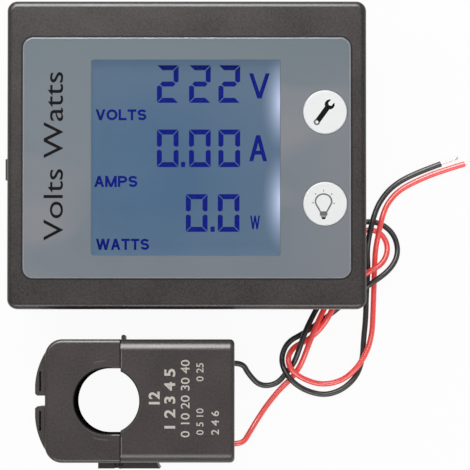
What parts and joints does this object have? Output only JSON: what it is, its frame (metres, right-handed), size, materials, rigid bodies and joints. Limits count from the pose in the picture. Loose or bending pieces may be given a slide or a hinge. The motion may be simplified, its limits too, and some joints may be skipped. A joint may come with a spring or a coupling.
{
  "type": "energy monitor",
  "caption": "Panel-mount energy meter with a segment display, round push buttons and rear screw terminals, and a hinged split-core current transformer on its own loose leads.",
  "frame": {"origin": "centre of the meter's flat back face, which lies on the floor", "axes": "+Z out of the meter's face, +X to the right of its display, +Y to the top of its display"},
  "size_m": [0.1198, 0.1144, 0.031],
  "materials": {
    "bezel_plastic": "satin",
    "housing_plastic": "satin",
    "overlay_film": "satin",
    "window_clear": "clear",
    "display_cell": "blue-grey, dark segments",
    "holder_plastic": "matte",
    "lamp": "lit",
    "contact_rubber": "matte",
    "board_green": "satin",
    "button_plastic": "satin",
    "switch_plastic": "matte",
    "plunger_plastic": "matte",
    "film_capacitor": "satin",
    "can_sleeve": "satin",
    "varistor_coating": "satin",
    "steel": "plated",
    "terminal_plastic": "satin",
    "contact_metal": "plated",
    "ct_plastic": "satin",
    "core_steel": "matte",
    "bobbin_plastic": "matte",
    "winding_copper": "lacquered",
    "black_insulation": "satin",
    "red_insulation": "satin",
    "tinned_copper": "tinned"
  },
  "bodies": {
    "base": {"front_bezel": "bezel_plastic", "rear_housing": "housing_plastic", "overlay_film": "overlay_film", "display_window": "window_clear", "backlight_guide": "window_clear", "display_glass": "display_cell", "display_holder": "holder_plastic", "backlight_lamps": "lamp", "contact_strip": "contact_rubber", "main_board": "board_green", "key_switches": "switch_plastic", "metering_chip": "switch_plastic", "controller_chip": "switch_plastic", "film_capacitor": "film_capacitor", "electrolytic_capacitor": "can_sleeve", "varistor": "varistor_coating", "board_screws": "steel", "ct_hinge_pin": "steel", "terminal_block": "terminal_plastic", "terminal_contacts": "contact_metal", "ct_base_shell": "ct_plastic", "ct_base_cover": "ct_plastic", "ct_base_core": "core_steel", "ct_bobbin": "bobbin_plastic", "ct_winding": "winding_copper", "black_lead": "black_insulation", "black_tail": "black_insulation", "red_lead": "red_insulation", "red_tail": "red_insulation", "black_tip": "tinned_copper", "red_tip": "tinned_copper"},
    "settings_key": {"settings_button": "button_plastic", "settings_plunger": "plunger_plastic"},
    "backlight_key": {"backlight_button": "button_plastic", "backlight_plunger": "plunger_plastic"},
    "clip_left": {"panel_clip_left": "housing_plastic"},
    "clip_right": {"panel_clip_right": "housing_plastic"},
    "ct_cap": {"ct_cap_shell": "ct_plastic", "ct_cap_cover": "ct_plastic", "ct_cap_core": "core_steel"},
    "latch": {"ct_latch": "ct_plastic"},
    "screw_1": {"terminal_screw_1": "steel"},
    "clamp_1": {"terminal_clamp_1": "steel"},
    "screw_2": {"terminal_screw_2": "steel"},
    "clamp_2": {"terminal_clamp_2": "steel"},
    "screw_3": {"terminal_screw_3": "steel"},
    "clamp_3": {"terminal_clamp_3": "steel"},
    "screw_4": {"terminal_screw_4": "steel"},
    "clamp_4": {"terminal_clamp_4": "steel"}
  },
  "joints": [
    {"name": "settings_press", "type": "slide", "parent": "base", "child": "settings_key", "axis": [0, 0, -1], "range_m": [0, 0.0005], "stiffness_N_per_m": 1200, "springref_m": -0.0005},
    {"name": "backlight_press", "type": "slide", "parent": "base", "child": "backlight_key", "axis": [0, 0, -1], "range_m": [0, 0.0005], "stiffness_N_per_m": 1200, "springref_m": -0.0005},
    {"name": "clip_left_flex", "type": "hinge", "parent": "base", "child": "clip_left", "pos_m": [-0.04115, -0.0032, 0.0038], "axis": [0, 1, 0], "range_deg": [0, 12], "stiffness_Nm_per_rad": 0.8},
    {"name": "clip_right_flex", "type": "hinge", "parent": "base", "child": "clip_right", "pos_m": [0.04115, -0.0032, 0.0038], "axis": [0, -1, 0], "range_deg": [0, 12], "stiffness_Nm_per_rad": 0.8},
    {"name": "cap_swing", "type": "hinge", "parent": "base", "child": "ct_cap", "pos_m": [-0.0161, -0.0756, 0.0155], "axis": [0, 0, 1], "range_deg": [0, 90]},
    {"name": "latch_lift", "type": "hinge", "parent": "base", "child": "latch", "pos_m": [-0.0071, -0.0458, 0.0155], "axis": [0, 0, -1], "range_deg": [0, 5], "stiffness_Nm_per_rad": 0.3},
    {"name": "clamp_rise_1", "type": "slide", "parent": "base", "child": "clamp_1", "axis": [0, 0, -1], "range_m": [0, 0.0016]},
    {"name": "terminal_turn_1", "type": "hinge", "parent": "base", "child": "screw_1", "pos_m": [0.036, 0.00708, 0.0022], "axis": [0, 0, 1], "range_deg": [0, 1152]},
    {"name": "clamp_rise_2", "type": "slide", "parent": "base", "child": "clamp_2", "axis": [0, 0, -1], "range_m": [0, 0.0016]},
    {"name": "terminal_turn_2", "type": "hinge", "parent": "base", "child": "screw_2", "pos_m": [0.036, 0.01216, 0.0022], "axis": [0, 0, 1], "range_deg": [0, 1152]},
    {"name": "clamp_rise_3", "type": "slide", "parent": "base", "child": "clamp_3", "axis": [0, 0, -1], "range_m": [0, 0.0016]},
    {"name": "terminal_turn_3", "type": "hinge", "parent": "base", "child": "screw_3", "pos_m": [0.036, 0.01724, 0.0022], "axis": [0, 0, 1], "range_deg": [0, 1152]},
    {"name": "clamp_rise_4", "type": "slide", "parent": "base", "child": "clamp_4", "axis": [0, 0, -1], "range_m": [0, 0.0016]},
    {"name": "terminal_turn_4", "type": "hinge", "parent": "base", "child": "screw_4", "pos_m": [0.036, 0.02232, 0.0022], "axis": [0, 0, 1], "range_deg": [0, 1152]}
  ],
  "couplings": [
    {"joint": "terminal_turn_1", "follows": "clamp_rise_1", "rad_per_m": 12566},
    {"joint": "terminal_turn_2", "follows": "clamp_rise_2", "rad_per_m": 12566},
    {"joint": "terminal_turn_3", "follows": "clamp_rise_3", "rad_per_m": 12566},
    {"joint": "terminal_turn_4", "follows": "clamp_rise_4", "rad_per_m": 12566}
  ]
}
